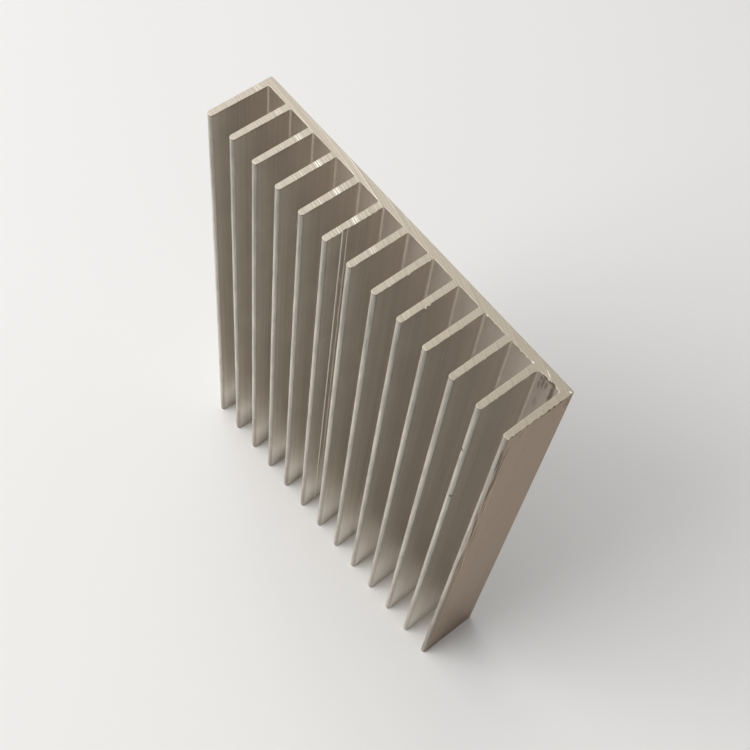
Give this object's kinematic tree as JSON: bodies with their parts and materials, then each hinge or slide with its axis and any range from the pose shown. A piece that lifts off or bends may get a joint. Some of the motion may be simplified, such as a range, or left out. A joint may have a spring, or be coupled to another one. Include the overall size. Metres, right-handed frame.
{
  "type": "extruded heat sink",
  "caption": "Comb-shaped aluminium heat sink: a thin flat base plate with a row of tall straight fins, extruded in one piece and sawn to length.",
  "frame": {"origin": "middle of the lower sawn end's box, on the surface that the bar stands on", "axes": "+Z along the extrusion, up; +Y out of the flat back of the base plate; fin tips face -Y; fins in a row along X"},
  "size_m": [0.1002, 0.018, 0.14],
  "materials": {
    "mill_aluminium": "bare mill finish with fine lines along the extrusion, sawn ends"
  },
  "bodies": {
    "root": {"heat_sink": "mill_aluminium"}
  },
  "joints": []
}
